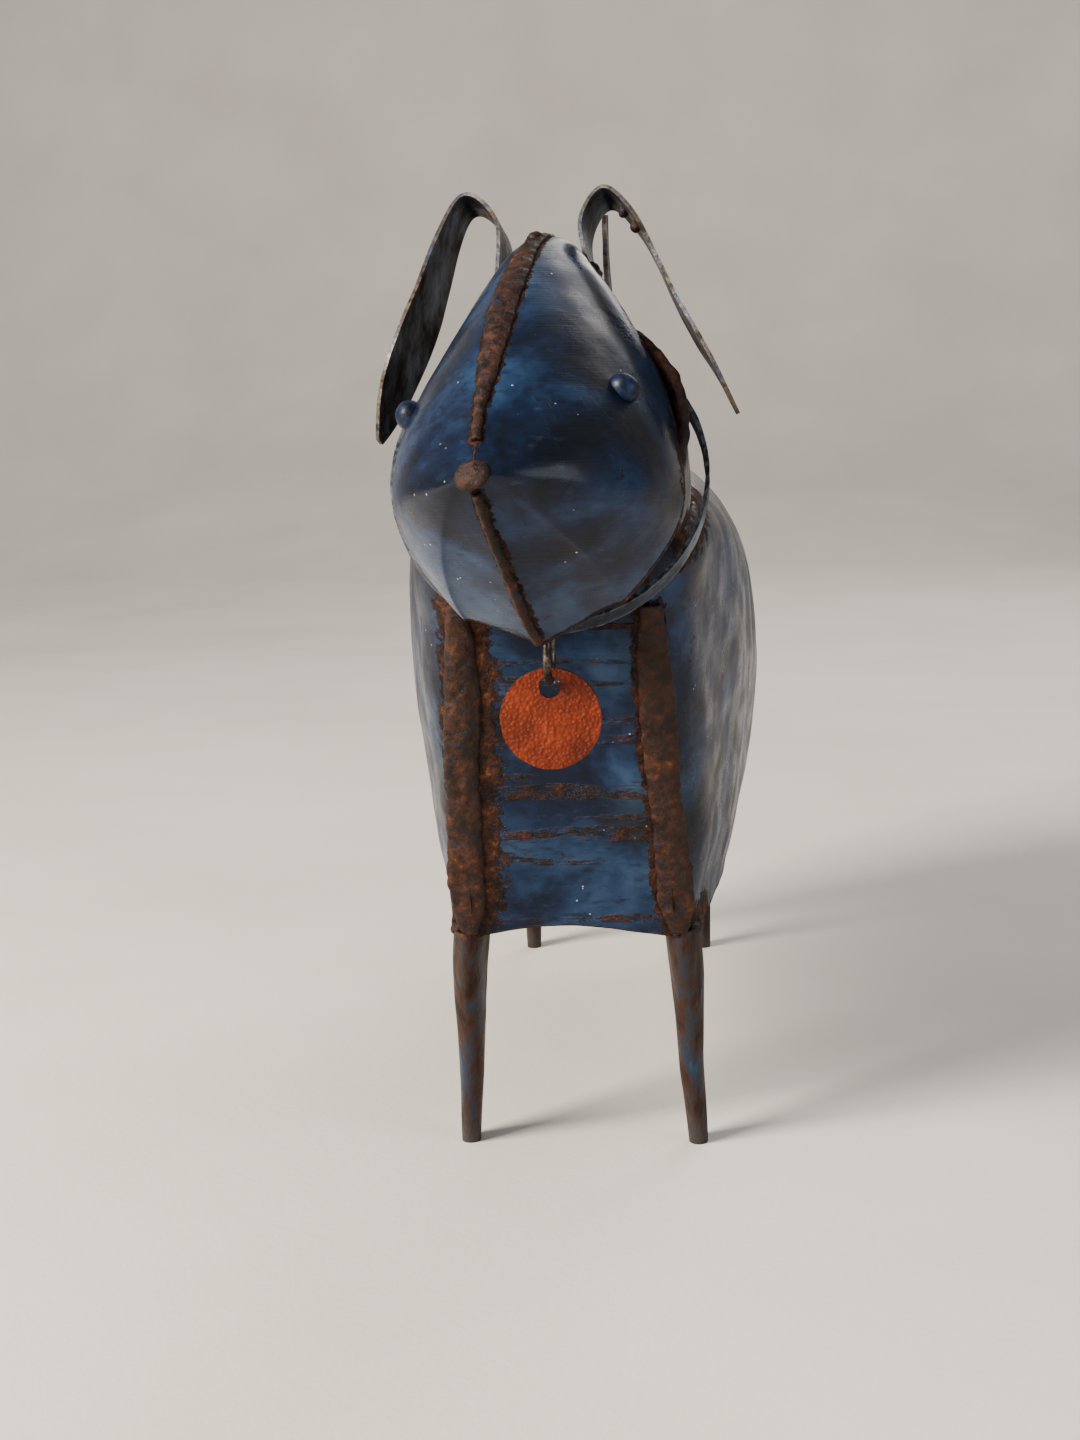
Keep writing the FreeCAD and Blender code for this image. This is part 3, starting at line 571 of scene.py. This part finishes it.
def tag_orange(name):
    """Orange-brown tag with a fine pebbled grain and a dark chipped rim."""
    finish = Finish(name, metallic=0.0, glint=TAG_GLINT)
    tone = finish.noise((4, 4, 4), detail=5, roughness=0.6)
    colour = finish.ramp(
        tone,
        (0.30, srgb(74, 27, 12)),
        (0.48, srgb(100, 38, 16)),
        (0.62, srgb(116, 47, 21)),
        (0.8, srgb(138, 64, 34)),
    )
    pebbles = finish.cells((0.42, 0.42, 0.42), feature="SMOOTH_F1")
    colour = finish.mix(finish.level(pebbles, 0.25, 0.62, 0, 0.4), colour, srgb(78, 28, 14))
    chips = finish.noise((0.9, 0.9, 0.9), detail=6, roughness=0.7)
    rim = finish.maths("ADD", finish.stored("rim"), finish.level(chips, 0.3, 0.7, 0, 0.75))
    bare = finish.level(rim, 1.0, 1.22)
    colour = finish.mix(bare, colour, srgb(38, 24, 20))
    dirt = finish.noise((1.8, 1.8, 1.8), detail=7, roughness=0.72)
    colour = finish.mix(finish.level(dirt, 0.64, 0.74, 0, 0.8), colour, srgb(64, 34, 24))
    rough = finish.level(tone, 0.35, 0.65, 0.46, 0.62)
    normal = finish.bump(pebbles, 0.16)
    normal = finish.bump(chips, 0.06, normal)
    return finish.done(colour, rough, normal)


def eye_paint(name):
    """Navy paint run over a round drop."""
    finish = Finish(name, metallic=0.0, coat=0.1, glint=PAINT_GLINT)
    tone = finish.noise((1.6, 1.6, 1.6), detail=5, roughness=0.6)
    colour = finish.ramp(tone, (0.32, NIGHT), (0.5, NAVY), (0.68, STEEL_BLUE), (0.82, WORN_BLUE))
    worn = finish.noise((0.7, 0.7, 0.7), detail=6, roughness=0.7)
    colour = finish.mix(finish.level(worn, 0.60, 0.68, 0, 0.7), colour, RUST)
    rough = finish.level(worn, 0.35, 0.65, 0.30, 0.5)
    return finish.done(colour, rough, finish.bump(worn, 0.10))


HEAD_PAINT = blue_paint("head_paint", gloss=0.22, streaks=False)
BODY_PAINT = blue_paint("body_paint", gloss=0.03, streaks=False)
CHEST_PAINT = blue_paint("chest_paint", gloss=0.03, streaks=True)
WELD_METAL = weld_metal("weld_metal")
LEG_STEEL = leg_steel("leg_metal")
EAR_STEEL = dark_steel("ear_metal", worn=0.3)
TAIL_STEEL = dark_steel("tail_metal", worn=0.35)
COLLAR_STEEL = collar_steel("collar_metal")
RING_STEEL = ring_steel("ring_metal")
TAG_ORANGE = tag_orange("tag_coat")
EYE_PAINT = eye_paint("eye_coat")


# Pieces of the figure


def sheet_skin(node, material, longest, rim_reach=RIM_REACH):
    """A dented sheet in place of a CAD node, with its rust and rims stored on it."""
    mesh = fine_mesh(node, longest)
    set_layer(mesh, "rim", rim_shares(mesh, rim_reach))
    set_layer(mesh, "rust", [rust_share(vert.co) for vert in mesh.verts])
    for vert in mesh.verts:
        vert.co = in_box(dented(vert.co))
    add_piece(node + "_skin", mesh, "figure", material, [node])


def weld_skin(node, lump_size, lump_height, body="figure", material=WELD_METAL):
    """A lumpy weld in place of a smooth CAD bead."""
    mesh = fine_mesh(node, WELD_EDGE)
    mesh.normal_update()
    moves = []
    for vert in mesh.verts:
        height = lumpy(vert.co, lump_size) * lump_height
        moves.append(vert.normal * height)
    for vert, move in zip(mesh.verts, moves):
        place = dented(vert.co) if body == "figure" else vert.co
        vert.co = in_box(place + move)
    for edge in mesh.edges:
        edge.smooth = True
    add_piece(node + "_skin", mesh, body, material, [node])


for side in ("left", "right"):
    sheet_skin(f"side_{side}", BODY_PAINT, 1.5 * MM)
    sheet_skin(f"head_{side}", HEAD_PAINT, 0.9 * MM)
    sheet_skin(f"ear_{side}", EAR_STEEL, 0.6 * MM, 0.5 * MM)
    weld_skin(f"chest_weld_{side}", 2.6 * MM, 0.45 * MM)
    weld_skin(f"rump_weld_{side}", 2.4 * MM, 0.5 * MM)
    weld_skin(f"ear_weld_{side}", 1.5 * MM, 0.55 * MM)
    weld_skin(f"eye_{side}", 2.2 * MM, 0.18 * MM, material=EYE_PAINT)
    for end in ("front", "rear"):
        sheet_skin(f"leg_{end}_{side}", LEG_STEEL, 0.8 * MM)
        weld_skin(f"leg_weld_{end}_{side}", 1.9 * MM, 0.7 * MM)

sheet_skin("chest_panel", CHEST_PAINT, 1.0 * MM)
sheet_skin("rump_panel", BODY_PAINT, 1.2 * MM)
sheet_skin("head_back", BODY_PAINT, 1.0 * MM)
sheet_skin("neck_tube", BODY_PAINT, 1.2 * MM)
sheet_skin("tail", TAIL_STEEL, 0.7 * MM, 0.5 * MM)

for bead in ("spine_weld", "neck_weld", "head_weld"):
    weld_skin(bead, 2.4 * MM, 0.5 * MM)
weld_skin("head_seam_weld", 2.2 * MM, 0.38 * MM)
weld_skin("keel_weld", 1.8 * MM, 0.30 * MM)
weld_skin("tail_weld", 1.7 * MM, 0.6 * MM)
weld_skin("crown_lump", 1.6 * MM, 0.3 * MM)
weld_skin("nose_weld", 1.4 * MM, 0.25 * MM)
weld_skin("ear_drip_upper", 1.2 * MM, 0.2 * MM)
weld_skin("ear_drip_lower", 1.2 * MM, 0.2 * MM)
weld_skin("collar_tack", 1.3 * MM, 0.15 * MM, body="collar")


# Collar, ring and tag


def loose_skin(node, body, material, longest, rim_reach, wobble):
    """A finer mesh for a loose piece, hardly moved, so that it stays clear of its neighbours."""
    mesh = fine_mesh(node, longest)
    rims = rim_shares(mesh, rim_reach)
    set_layer(mesh, "rim", rims)
    for vert, rim in zip(mesh.verts, rims):
        shake = noise.noise_vector(vert.co / SHAKE_SIZE) * wobble
        vert.co = in_box(vert.co + shake * (SHAKE_INSIDE + rim))
    add_piece(node + "_skin", mesh, body, material, [node])


loose_skin("collar", "collar", COLLAR_STEEL, 0.6 * MM, 0.5 * MM, 0.05 * MM)
loose_skin("tag_ring", "tag_ring", RING_STEEL, 0.3 * MM, 0.3 * MM, 0.015 * MM)
loose_skin("tag", "tag", TAG_ORANGE, 0.3 * MM, 0.55 * MM, 0.05 * MM)


# Floor, lights and camera

FLOOR_HALF_WIDTH = 3.0
# How far back and how high the floor stands at each of its rows, in metres.
FLOOR_RUNS = [-2.5, -1.0, 0.0, 0.7, 1.0, 1.2, 1.35, 1.45, 1.5, 1.5]
FLOOR_RISES = [0, 0, 0, 0, 0.02, 0.08, 0.2, 0.4, 0.8, 3.0]
WORLD_STRENGTH = 0.42
CAMERA_PLACE = Vector((0.0195, -0.3027, 0.1022))
CAMERA_TURN = (5.19, 8.21, -1.49)
SENSOR_MM = 36
FOCAL_MM = 47.5
NEAREST_SEEN = 0.01


def pale_floor():
    """A pale floor that curves up behind into a backdrop."""
    mesh = bmesh.new()
    rows = [
        [mesh.verts.new((x, run, rise)) for x in (-FLOOR_HALF_WIDTH, FLOOR_HALF_WIDTH)]
        for run, rise in zip(FLOOR_RUNS, FLOOR_RISES)
    ]
    for near, far in zip(rows, rows[1:]):
        face = mesh.faces.new((near[0], near[1], far[1], far[0]))
        face.smooth = True
    data = bpy.data.meshes.new("floor")
    mesh.to_mesh(data)
    mesh.free()
    floor = bpy.data.objects.new("floor", data)
    bpy.context.scene.collection.objects.link(floor)
    finish = Finish("floor_paper", metallic=0.0)
    tone = finish.noise((90, 90, 90), detail=3)
    colour = finish.ramp(tone, (0.3, srgb(214, 208, 199)), (0.7, srgb(222, 217, 209)))
    grain = finish.noise((1.2, 1.2, 1.2), detail=2)
    data.materials.append(finish.done(colour, 0.9, finish.bump(grain, 0.04)))


def area_light(name, place, target, size, power, colour):
    """A square soft light at place, facing target."""
    data = bpy.data.lights.new(name, "AREA")
    data.shape = "SQUARE"
    data.size = size
    data.energy = power
    data.color = colour
    light = bpy.data.objects.new(name, data)
    light.location = place
    light.rotation_euler = (Vector(target) - Vector(place)).to_track_quat("-Z", "Y").to_euler()
    bpy.context.scene.collection.objects.link(light)


def add_camera():
    """The camera, by where it stands and how it turns."""
    yaw, pitch, roll = (math.radians(angle) for angle in CAMERA_TURN)
    ahead = Vector(
        (-math.sin(yaw) * math.cos(pitch), math.cos(yaw) * math.cos(pitch), -math.sin(pitch))
    )
    level = Vector((math.cos(yaw), math.sin(yaw), 0))
    upright = level.cross(ahead)
    right = level * math.cos(roll) + upright * math.sin(roll)
    up = upright * math.cos(roll) - level * math.sin(roll)
    turn = Matrix((right, up, -ahead)).transposed()
    data = bpy.data.cameras.new("camera")
    data.sensor_width = SENSOR_MM
    data.lens = FOCAL_MM
    data.clip_start = NEAREST_SEEN
    camera = bpy.data.objects.new("camera", data)
    camera.matrix_world = Matrix.Translation(CAMERA_PLACE) @ turn.to_4x4()
    bpy.context.scene.collection.objects.link(camera)
    bpy.context.scene.camera = camera


def studio():
    """A warm key from the left, a cool fill from the right, and a pale room."""
    area_light("key", (-0.62, -0.52, 0.44), (0, -0.03, 0.08), 0.36, 17, (1.0, 0.92, 0.82))
    area_light("fill", (0.70, -0.50, 0.30), (0, 0, 0.07), 0.50, 2.0, (0.86, 0.92, 1.0))
    area_light("back", (0.25, 0.70, 0.60), (0, 0.02, 0.07), 0.50, 2.4, (1.0, 0.97, 0.93))
    world = bpy.data.worlds.new("room")
    world.use_nodes = True
    background = world.node_tree.nodes["Background"]
    background.inputs["Color"].default_value = (0.86, 0.88, 0.92, 1)
    background.inputs["Strength"].default_value = WORLD_STRENGTH
    bpy.context.scene.world = world
    bpy.context.scene.view_settings.look = "AgX - Medium High Contrast"


pale_floor()
studio()
add_camera()
